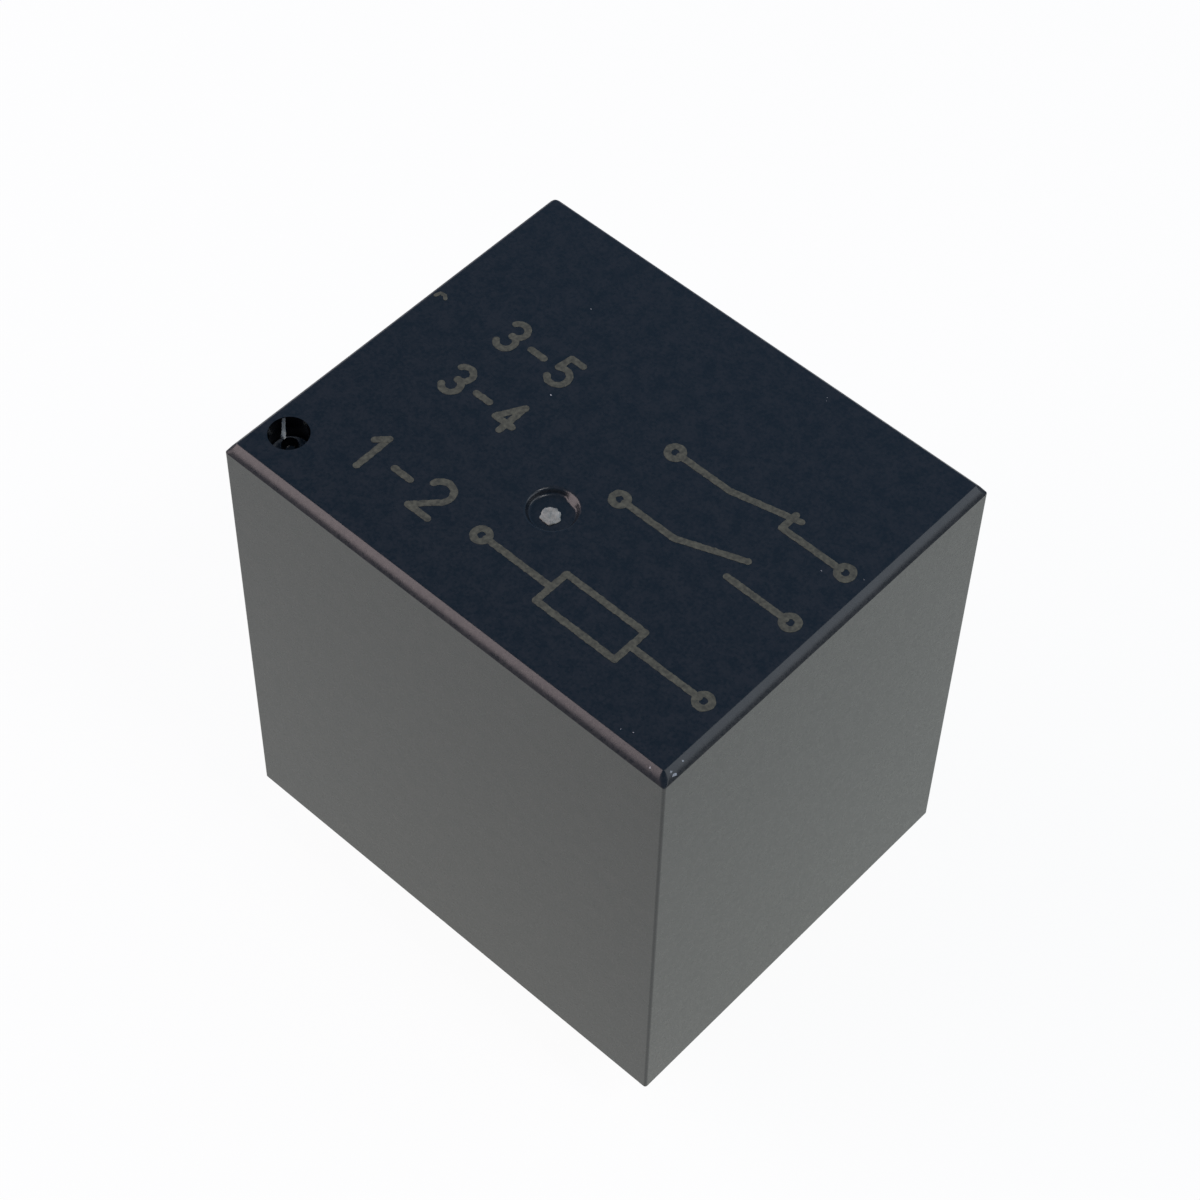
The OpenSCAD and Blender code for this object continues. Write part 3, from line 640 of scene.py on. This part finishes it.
class RELAY_OT_close_vent(Operator):
    """Stands the hollow nib, closed at its foot, in the vent pocket"""

    bl_idname = "relay.close_vent"
    bl_label = "Close Vent"

    # Share of the way from the nib to the wall, and height over the floor in millimetres, across the pale
    # film of painted light
    PALE_FLOOR_RINGS = ((0.0, -0.01), (0.02, 0.006), (0.3, 0.01), (0.65, 0.008), (0.97, 0.006), (1.0, -0.01))

    def execute(self, context):
        top = context.scene.relay_top
        x, y = (millimetres(c) for c in top.vent_place)
        floor = millimetres(COVER_HIGH.z - top.vent_depth)
        r, h = millimetres(top.nib_radius), millimetres(top.nib_height)
        # Radius as a share of the nib's, and height over the floor in millimetres
        profile = [(0.0, -SUNK), (1.15, -SUNK), (1.1, 0.03), (1.0, 0.08), (1.0, h - 0.02), (0.98, h)]
        profile += [(0.95, h), (0.93, h - 0.02), (0.75, 0.1), (0.6, 0.06), (0.0, 0.05)]
        form = turned([(r * wide, floor + z) for wide, z in profile], 40, x, y)
        # The nib takes the pocket's darker black, which is painted shade
        fit_detail(new_piece("vent_nib", form, bpy.data.materials["pocket_polish"]), 60.0)
        self.lay_pale_floor(x, y, floor, 1.12 * r, millimetres(top.vent_radius) - 0.03)
        return {"FINISHED"}

    def lay_pale_floor(self, x, y, floor, inner, outer):
        """Lays a thin uneven pale film on the floor of the pocket, round the nib: painted light that makes
        the floor show lit.
        """
        form, steps, rings = bmesh.new(), 56, []
        for out, height in self.PALE_FLOOR_RINGS:
            loop = []
            for i in range(steps):
                a = 2 * math.pi * i / steps
                ragged = 0.012 * noise.noise((3 * math.cos(a), 3 * math.sin(a), 8.0))
                reach = inner + (outer - inner) * out + ragged
                point = (x + reach * math.cos(a), y + reach * math.sin(a), floor + height)
                loop.append(form.verts.new(point))
            rings.append(loop)
        bridge(form, rings + rings[:1])
        face_outwards(form)
        # Painted light: a film paler than the black plastic, so the pocket floor shows lit
        pale_floor = make_finish(
            "vent_dust",
            dark=(0.04, 0.045, 0.052, 1.0), light=(0.09, 0.095, 0.105, 1.0),
            mottle=0.0002, grain=0.00005, depth=0.000005, rough=(0.7, 0.9),
        )[0]
        fit_detail(new_piece("vent_dust", form, pale_floor), 35.0)


def arc(x, y, r, first, last, steps=14):
    """Points along an arc, in degrees."""
    turns = (math.radians(first + (last - first) * i / steps) for i in range(steps + 1))
    return [(x + r * math.cos(a), y + r * math.sin(a)) for a in turns]


DIGITS = {
    "1": [[(0.15, 1.15), (0.48, 1.5)], [(0.48, 1.5), (0.48, 0.0)]],
    "2": [arc(0.45, 1.06, 0.43, 165, -38) + [(0.04, 0.0)], [(0.04, 0.0), (0.9, 0.0)]],
    "3": [arc(0.42, 1.12, 0.38, 150, -90), arc(0.42, 0.38, 0.39, 90, -150)],
    "4": [[(0.64, 0.0), (0.64, 1.5)], [(0.64, 1.5), (0.04, 0.42)], [(0.04, 0.42), (0.92, 0.42)]],
    "5": [
        [(0.82, 1.5), (0.2, 1.5)],
        [(0.2, 1.5), (0.12, 0.82)],
        [(0.12, 0.82)] + arc(0.43, 0.46, 0.45, 112, -145),
    ],
}


class RELAY_OT_mark_top(Operator):
    """Marks the top with plain circuit signs of the contacts and the coil, and the numbers of their pins"""

    bl_idname = "relay.mark_top"
    bl_label = "Mark Top"

    # Grey streak beside the edge, in millimetres on the top
    SMEAR = ((-9.07, 1.5), (-9.02, 1.68), (-8.84, 1.7), (-8.72, 1.6))
    SMEAR_HALF, SMEAR_SEED = 0.07, 40.0
    # Height over the top and thickness of the lines, and the steps that keep crossing lines apart
    LIFT, THICK, STAGGER, STEPS_UP = 0.002, 0.004, 0.0007, 7

    def strokes(self):
        """Lines of the marking, in millimetres on the top: a row for each contact, and one for the coil."""
        lines = self.pair("3", "5", -6.3, 1.3, 1.25) + self.pair("3", "4", -6.3, -1.3, 1.25)
        lines += self.pair("1", "2", -6.25, -5.5, 1.5)
        lines += self.row(1.3, 3.6, 5.8, 8.4, 1.9) + [[(3.6, 1.9), (6.1, 2.5)], [(5.8, 1.9), (5.8, 2.6)]]
        lines += self.row(1.3, 3.6, 5.8, 8.4, -0.75) + [[(3.6, -0.75), (5.9, 0.15)]]
        lines += self.row(-0.9, 2.1, 5.4, 8.4, -4.8)
        box = [(2.1, -5.5), (5.4, -5.5), (5.4, -4.1), (2.1, -4.1)]
        return lines + [[box[i], box[(i + 1) % 4]] for i in range(4)]

    def pair(self, first, second, x, y, height):
        """Two pin numbers with a dash between them."""
        scale = height / 1.5
        lines = [[(x + 1.45 * scale, y + height / 2), (x + 2.15 * scale, y + height / 2)]]
        for digit, start in ((first, x), (second, x + 2.75 * scale)):
            lines += [[(start + px * scale, y + py * scale) for px, py in line] for line in DIGITS[digit]]
        return lines

    def row(self, left, first, second, right, y):
        """Rings that stand for two pins, and the lines that lead from them to a sign."""
        rings = [arc(left, y, 0.26, 0, 360, 28), arc(right, y, 0.26, 180, 540, 28)]
        return rings + [[(left + 0.2, y), (first, y)], [(second, y), (right - 0.2, y)]]

    def execute(self, context):
        top = context.scene.relay_top
        z = millimetres(COVER_HIGH.z)
        half = millimetres(top.stroke) / 2
        form = bmesh.new()
        for n, line in enumerate(self.strokes()):
            level = z + self.STAGGER * (n % self.STEPS_UP)
            self.ribbon(form, [Vector(p) for p in line], half, level, 0.31 * n)
        self.ribbon(form, [Vector(p) for p in self.SMEAR], self.SMEAR_HALF, z, self.SMEAR_SEED)
        face_outwards(form)
        grey = top.mark_grey
        marked = make_finish(
            "marked_grey",
            dark=toned(grey, 0.5), light=toned(grey, 1.2),
            mottle=0.00013, grain=0.00005, depth=0.000003, rough=(0.5, 0.7),
        )[0]
        fit_detail(new_piece("top_marking", form, marked))
        return {"FINISHED"}

    def ribbon(self, form, line, half, z, seed):
        """Adds one flat line with round ends and slightly uneven sides, standing a hair above the top."""
        spaced = [line[0]]
        for a, b in zip(line, line[1:]):
            count = max(1, round((b - a).length / 0.07))
            spaced += [a.lerp(b, k / count) for k in range(1, count + 1)]
        left, right = [], []
        for i, p in enumerate(spaced):
            ahead = spaced[min(i + 1, len(spaced) - 1)] - spaced[max(i - 1, 0)]
            side = Vector((-ahead.y, ahead.x)).normalized()
            left.append(p + side * half * (1 + 0.2 * noise.noise((9 * p.x, 9 * p.y, seed))))
            right.append(p - side * half * (1 + 0.2 * noise.noise((9 * p.x, 9 * p.y, seed + 9))))
        outline = left + self.cap(spaced[-1], spaced[-1] - spaced[-2], half)
        outline += right[::-1] + self.cap(spaced[0], spaced[0] - spaced[1], half)
        face = form.faces.new([form.verts.new((p.x, p.y, z + self.LIFT)) for p in outline])
        face.normal_update()
        if face.normal.z < 0:
            face.normal_flip()
        risen = bmesh.ops.extrude_face_region(form, geom=[face])["geom"]
        for v in risen:
            if isinstance(v, bmesh.types.BMVert):
                v.co.z += self.THICK

    def cap(self, end, ahead, half):
        """Points of the round end of a line."""
        a = math.atan2(ahead.y, ahead.x)
        turns = (a + math.pi / 2 - math.pi * k / 8 for k in range(1, 8))
        return [end + Vector((half * math.cos(t), half * math.sin(t))) for t in turns]


class RELAY_OT_scuff_and_highlight_cover(Operator):
    """Leaves the chips and flakes that handling gives the cover's edges, painted glints at the front corner,
    and a painted highlight streak in the vent pocket
    """

    bl_idname = "relay.scuff_cover"
    bl_label = "Scuff Cover"

    # Textures of the pale flecks and of the painted highlight streak
    PALE_TEXTURE = {"mottle": 0.0001, "grain": 0.00004, "depth": 0.000006, "rough": (0.5, 0.75)}
    # Place on the top, drop below it and reach of each fleck, in millimetres. The first four, on the bevels
    # at the front corner, are painted glints; the rest are chips
    FLECKS_AND_GLINTS = (
        (9.4, -7.28, -0.23, 0.17),
        (9.28, -7.32, -0.11, 0.13),
        (9.29, -6.79, -0.11, 0.1),
        (8.75, -7.58, -0.11, 0.12),
        (7.26, -7.27, 0.0, 0.09),
        (7.62, -7.1, 0.0, 0.1),
        (9.0, 2.1, 0.0, 0.08),
        (7.8, 1.45, 0.0, 0.1),
        (3.36, 7.05, 0.0, 0.08),
        (3.43, 6.92, 0.0, 0.06),
        (-4.88, 4.61, 0.0, 0.1),
        (-3.27, 0.93, 0.0, 0.12),
    )

    def execute(self, context):
        top = millimetres(COVER_HIGH.z)
        seeded = random.Random(7)
        form = bmesh.new()
        for x, y, drop, reach in self.FLECKS_AND_GLINTS:
            count, turn = 9, seeded.uniform(0, math.pi)
            tip = form.verts.new((x, y, top + drop + 0.16 * reach))
            ring = []
            for i in range(count):
                a = 2 * math.pi * i / count
                r = reach * seeded.uniform(0.55, 1.1)
                across, along = r * math.cos(a), 0.55 * r * math.sin(a)
                px = x + across * math.cos(turn) - along * math.sin(turn)
                py = y + across * math.sin(turn) + along * math.cos(turn)
                ring.append(form.verts.new((px, py, top + drop - 0.03)))
            for i in range(count):
                form.faces.new((ring[i], ring[(i + 1) % count], tip))
            form.faces.new(ring[::-1])
        # Pale tones, which make the flecks at the front corner painted glints
        chip_and_glint_finish = make_finish("torn_crumbs", (0.16, 0.16, 0.165, 1.0), (0.5, 0.5, 0.5, 1.0), **self.PALE_TEXTURE)[0]
        fit_detail(new_piece("edge_scuffs", form, chip_and_glint_finish))
        self.paint_pocket_streak(context.scene.relay_top)
        return {"FINISHED"}

    def paint_pocket_streak(self, top):
        """Lays a pale sliver down the far wall of the vent pocket: a painted highlight that swells to a lump
        at its foot and darkens towards the mouth.
        """
        form = bmesh.new()
        x, y = (millimetres(c) for c in top.vent_place)
        high, r, steps = millimetres(COVER_HIGH.z), millimetres(top.vent_radius), 12
        rows = []
        for k in range(steps + 1):
            down = k / steps
            z = high - 0.04 - (millimetres(top.vent_depth) - 0.05) * down
            half = 0.07 + 0.02 * down + 0.015 * noise.noise((9 * down, 2.0, 5.0))
            middle = math.radians(150 + 6 * down)
            swell = 0.008 + 0.15 * max(0.0, (down - 0.65) / 0.35) ** 1.3
            row = []
            for side, depth in ((-1, -0.006), (-0.5, swell), (0.5, swell), (1, -0.006)):
                a = middle + side * half / r
                out = r - depth
                row.append(form.verts.new((x + out * math.cos(a), y + out * math.sin(a), z)))
            rows.append(row)
        bridge(form, rows)
        form.faces.new(rows[0][::-1])
        form.faces.new(rows[-1])
        face_outwards(form)
        pale, bright, dimmed_top = (0.55, 0.56, 0.54, 1.0), (0.9, 0.9, 0.88, 1.0), (0.02, 0.021, 0.024, 1.0)
        streak_finish, shader, laid = make_finish("scraped_plastic", pale, bright, **self.PALE_TEXTURE)
        tree = streak_finish.node_tree
        height = add_node(tree, "ShaderNodeSeparateXYZ", {"Vector": laid})
        foot = COVER_HIGH.z - top.vent_depth
        # Painted highlight: bright at the foot, darker towards the mouth
        overlay(tree, shader, carry(tree, height.outputs["Z"], foot, COVER_HIGH.z, 0.0, 0.9), dimmed_top)
        fit_detail(new_piece("vent_scrape", form, streak_finish), 60.0)


class RELAY_OT_pour_resin(Operator):
    """Finishes the base and the resin that seals it"""

    bl_idname = "relay.pour_resin"
    bl_label = "Pour Resin"

    def execute(self, context):
        inner = context.scene.relay_inner
        moulded = make_finish(
            "base_black",
            dark=toned(inner.base_black, 0.8), light=toned(inner.base_black, 1.3),
            mottle=0.002, grain=0.00012, depth=0.000003, rough=(0.4, 0.55),
        )[0]
        paint_nodes(moulded, "base")
        cast, shader, _ = make_finish(
            "resin_cast",
            dark=toned(inner.resin_black, 0.7), light=toned(inner.resin_black, 1.6),
            mottle=0.0035, grain=0.0011, depth=0.00001, rough=(0.12, 0.3),
            ior=1.55,
        )
        shader.inputs["Coat Weight"].default_value = 0.3
        shader.inputs["Coat Roughness"].default_value = 0.08
        paint_nodes(cast, "sealing_resin")
        return {"FINISHED"}


class RELAY_OT_finish_magnet(Operator):
    """Finishes the plated iron of yoke, core and armature"""

    bl_idname = "relay.finish_magnet"
    bl_label = "Finish Magnet"

    def execute(self, context):
        tone = context.scene.relay_inner.iron
        rolled = metal_finish("iron_rolled", tone, 0.00012, 0.0000015, (0.24, 0.4), (1.0, 8.0, 1.0))[0]
        faced = metal_finish("iron_faced", tone, 0.00006, 0.000001, (0.18, 0.32))[0]
        paint_nodes(rolled, "yoke", "armature")
        paint_nodes(faced, "core")
        return {"FINISHED"}


class RELAY_OT_wind_coil(Operator):
    """Finishes the bobbin, the winding, its two leads and their solder"""

    bl_idname = "relay.wind_coil"
    bl_label = "Wind Coil"

    def execute(self, context):
        inner = context.scene.relay_inner
        moulded = make_finish(
            "bobbin_white",
            dark=toned(inner.bobbin_white, 0.88), light=toned(inner.bobbin_white, 1.08),
            mottle=0.003, grain=0.00015, depth=0.000003, rough=(0.4, 0.55),
        )[0]
        paint_nodes(moulded, "bobbin")
        wound, shader, place = make_finish(
            "copper_wound",
            dark=toned(inner.copper, 0.6), light=toned(inner.copper, 1.25),
            mottle=0.0007, grain=0.0002, depth=0.000002, rough=(0.24, 0.38),
            metallic=0.9,
        )
        tree = wound.node_tree
        bands = {"Vector": place, "Scale": 2600.0, "Distortion": 0.8, "Detail": 1.0}
        turns = add_node(tree, "ShaderNodeTexWave", bands, bands_direction="Z")
        emboss(tree, shader, turns.outputs["Fac"], 0.00004)
        shader.inputs["Coat Weight"].default_value = 0.6
        shader.inputs["Coat Roughness"].default_value = 0.12
        paint_nodes(wound, "coil_winding")
        drawn, shader, _ = metal_finish("copper_drawn", inner.copper, 0.00005, 0.000001, (0.25, 0.4))
        shader.inputs["Coat Weight"].default_value = 0.5
        paint_nodes(drawn, "coil_lead_a", "coil_lead_b")
        soldered = metal_finish("solder_set", inner.solder, 0.00025, 0.000008, (0.18, 0.4))[0]
        paint_nodes(soldered, "solder_joint_a", "solder_joint_b")
        return {"FINISHED"}


class RELAY_OT_finish_terminals(Operator):
    """Finishes the pins: tinned coil pins, and brass terminals that are tin-dipped below the base"""

    bl_idname = "relay.finish_terminals"
    bl_label = "Finish Terminals"

    def execute(self, context):
        inner = context.scene.relay_inner
        tinned = metal_finish("pin_tinned", inner.tin, 0.00022, 0.000003, (0.22, 0.42), (1.0, 1.0, 0.5))[0]
        paint_nodes(tinned, "coil_terminal_a", "coil_terminal_b")
        strip, shader, place = metal_finish("brass_strip", inner.brass, 0.00014, 0.000002, (0.24, 0.42))
        tree = strip.node_tree
        height = add_node(tree, "ShaderNodeSeparateXYZ", {"Vector": place})
        ripple = add_node(tree, "ShaderNodeTexNoise", {"Vector": place, "Scale": 1200.0})
        level = compute(tree, "MULTIPLY_ADD", ripple.outputs["Fac"], 0.0007, height.outputs["Z"])
        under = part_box("sealing_resin")[0].z
        dipped = carry(tree, level, under + 0.0003, under + 0.0006, 1.0, 0.0)
        overlay(tree, shader, dipped, toned(inner.tin, 0.95))
        paint_nodes(strip, "com_terminal", "no_terminal", "nc_terminal")
        return {"FINISHED"}


class RELAY_OT_form_spring(Operator):
    """Forms the bronze leaf that bends between the yoke and the armature, and finishes the contacts"""

    bl_idname = "relay.form_spring"
    bl_label = "Form Spring"

    def execute(self, context):
        inner = context.scene.relay_inner
        form = bmesh.new()
        form.from_mesh(frame["nodes"]["contact_spring"].data)
        bmesh.ops.remove_doubles(form, verts=form.verts, dist=1e-7)
        along = (1.0, 10.0, 1.0)
        rolled = metal_finish("bronze_rolled", inner.bronze, 0.0001, 0.0000012, (0.2, 0.34), along)[0]
        leaf = new_piece("spring_leaf", form, rolled)
        smooth_mesh(leaf.data, 30.0)
        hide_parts("contact_spring")
        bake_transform(leaf)
        silver = metal_finish("contact_silver", inner.silver, 0.00005, 0.000001, (0.14, 0.3))[0]
        paint_nodes(silver, "no_contact", "nc_contact", "moving_contact")
        return {"FINISHED"}


class RELAY_OT_set_stage(Operator):
    """Sets the white floor, the dim studio above it, the lamps and the camera"""

    bl_idname = "relay.set_stage"
    bl_label = "Set Stage"

    # Direction from the relay, distance and size of each lamp, in metres
    LAMPS = {
        "side": ((-0.679, -0.611, 0.45), 0.26, (0.3, 0.18)),
        "far": ((0.8, 0.45, 0.34), 0.26, (0.24, 0.17)),
        "front": ((0.524, 0.0, 0.852), 0.3, (0.05, 0.05)),
    }
    FLOOR_RADIUS = 1.2

    def execute(self, context):
        stage = context.scene.relay_stage
        context.scene.view_settings.view_transform = "Standard"
        self.lay_floor(stage)
        self.light_studio(context.scene, stage)
        for name, placed in self.LAMPS.items():
            self.hang_lamp(stage, name, *placed)
        view = bpy.data.cameras.new("view")
        view.lens = stage.lens
        view.sensor_width = 36.0
        view.clip_start = 0.005
        view.clip_end = 10.0
        camera = bpy.data.objects.new("view", view)
        camera.location = stage.camera_place
        camera.rotation_euler = stage.camera_turn
        context.scene.collection.objects.link(camera)
        context.scene.camera = camera
        return {"FINISHED"}

    def lay_floor(self, stage):
        """Large white disc that the pins stand on. The white that is seen keeps a share of the lit floor."""
        form = bmesh.new()
        bmesh.ops.create_circle(form, cap_ends=True, segments=96, radius=self.FLOOR_RADIUS)
        material = bpy.data.materials.new("floor_white")
        material.use_nodes = True
        tree = material.node_tree
        shader = tree.nodes["Principled BSDF"]
        shader.inputs["Roughness"].default_value = 0.9
        shader.inputs["Specular IOR Level"].default_value = 0.0
        where = add_node(tree, "ShaderNodeTexCoord")
        fibre = add_node(tree, "ShaderNodeTexNoise", {"Vector": where.outputs["Object"], "Scale": 40.0})
        dull, white = toned(stage.floor_white, 0.985), toned(stage.floor_white, 1.0)
        tones = shade(tree, fibre.outputs["Fac"], 0.0, 1.0, dull, white)
        tree.links.new(tones, shader.inputs["Base Color"])
        path = add_node(tree, "ShaderNodeLightPath")
        viewed = path.outputs["Is Camera Ray"]
        glossy, through = path.outputs["Is Glossy Ray"], path.outputs["Is Transmission Ray"]
        mirrored = compute(tree, "MAXIMUM", glossy, through)
        ends = {0: where.outputs["Object"], 1: tuple(stage.paper_middle)}
        away = add_node(tree, "ShaderNodeVectorMath", ends, operation="DISTANCE")
        off_paper = carry(tree, away.outputs["Value"], stage.paper_near, stage.paper_far)
        dimmed = compute(tree, "MULTIPLY", mirrored, off_paper)
        reflected = mix_colours(tree, dimmed, toned(stage.paper_white, 1.0), toned(stage.table_grey, 1.0))
        shown = mix_colours(tree, viewed, reflected, WHITE)
        seen = compute(tree, "MULTIPLY", viewed, 1.0 - stage.shadow_share)
        white_share = compute(tree, "MULTIPLY_ADD", mirrored, 1.0 - stage.mirror_shadow, seen)
        glow = add_node(tree, "ShaderNodeEmission", {"Color": shown, "Strength": 1.0})
        shaders = {1: shader.outputs["BSDF"], 2: glow.outputs["Emission"]}
        mixed = add_node(tree, "ShaderNodeMixShader", {0: white_share, **shaders})
        tree.links.new(mixed.outputs["Shader"], tree.nodes["Material Output"].inputs["Surface"])
        floor = new_piece("floor", form, material)
        floor.location.z = PIN_TIP_Z

    def light_studio(self, scene, stage):
        """World that is white behind the relay, and else dim."""
        world = bpy.data.worlds.new("studio")
        scene.world = world
        world.use_nodes = True
        tree = world.node_tree
        where = add_node(tree, "ShaderNodeTexCoord")
        height = add_node(tree, "ShaderNodeSeparateXYZ", {"Vector": where.outputs["Generated"]})
        horizon, ceiling = toned(stage.horizon, 1.0), toned(stage.ceiling, 1.0)
        tones = shade(tree, height.outputs["Z"], 0.0, 0.12, horizon, ceiling)
        # Darker at the near side than at the far side
        towards = carry(tree, height.outputs["Y"], 0.36, 0.58, 0.86, 1.35)
        scaled = {0: tones, "Scale": towards}
        lit = add_node(tree, "ShaderNodeVectorMath", scaled, operation="SCALE").outputs["Vector"]
        path = add_node(tree, "ShaderNodeLightPath")
        seen = compute(tree, "MAXIMUM", path.outputs["Is Camera Ray"], path.outputs["Is Transmission Ray"])
        shown = mix_colours(tree, seen, lit, WHITE)
        tree.links.new(shown, tree.nodes["Background"].inputs["Color"])

    def hang_lamp(self, stage, name, direction, distance, size):
        """Soft box that looks at the middle of the relay. Its power follows from its size and brightness."""
        lamp = bpy.data.lights.new(name + "_lamp", "AREA")
        lamp.shape = "RECTANGLE"
        lamp.size, lamp.size_y = size
        lamp.energy = math.pi * size[0] * size[1] * getattr(stage, name + "_radiance")
        lamp.color = getattr(stage, name + "_tint")
        middle = (COVER_LOW + COVER_HIGH) / 2
        ahead = Vector(direction).normalized()
        hung = bpy.data.objects.new(lamp.name, lamp)
        hung.location = middle + ahead * distance
        hung.rotation_euler = ahead.to_track_quat("Z", "Y").to_euler()
        bpy.context.scene.collection.objects.link(hung)


class RELAY_PT_pieces(Panel):
    """Lists the steps that dress the relay"""

    bl_label = "Relay"
    bl_space_type = "VIEW_3D"
    bl_region_type = "UI"
    bl_category = "Relay"

    def draw(self, context):
        for step in STEPS:
            self.layout.operator(step.bl_idname)
        for group in SETTINGS:
            box = self.layout.box()
            settings = getattr(context.scene, group)
            for name in settings.__annotations__:
                box.prop(settings, name)


STEPS = (
    RELAY_OT_mould_cover,
    RELAY_OT_break_gate,
    RELAY_OT_close_vent,
    RELAY_OT_mark_top,
    RELAY_OT_scuff_and_highlight_cover,
    RELAY_OT_pour_resin,
    RELAY_OT_finish_magnet,
    RELAY_OT_wind_coil,
    RELAY_OT_finish_terminals,
    RELAY_OT_form_spring,
    RELAY_OT_set_stage,
)
SETTINGS = {
    "relay_cover": CoverSettings,
    "relay_top": TopSettings,
    "relay_inner": InnerSettings,
    "relay_stage": StageSettings,
}


def register():
    """Registers the settings, the steps and the panel."""
    for name, group in SETTINGS.items():
        bpy.utils.register_class(group)
        setattr(bpy.types.Scene, name, PointerProperty(type=group))
    for step in STEPS + (RELAY_PT_pieces,):
        bpy.utils.register_class(step)


def unregister():
    """Takes the panel, the steps and the settings out again."""
    for step in (RELAY_PT_pieces,) + STEPS[::-1]:
        bpy.utils.unregister_class(step)
    for name, group in SETTINGS.items():
        delattr(bpy.types.Scene, name)
        bpy.utils.unregister_class(group)


def main():
    """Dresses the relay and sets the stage."""
    register()
    bpy.ops.relay.mould_cover()
    bpy.ops.relay.break_gate()
    bpy.ops.relay.close_vent()
    bpy.ops.relay.mark_top()
    bpy.ops.relay.scuff_cover()
    bpy.ops.relay.pour_resin()
    bpy.ops.relay.finish_magnet()
    bpy.ops.relay.wind_coil()
    bpy.ops.relay.finish_terminals()
    bpy.ops.relay.form_spring()
    bpy.ops.relay.set_stage()


if __name__ == "__main__":
    main()
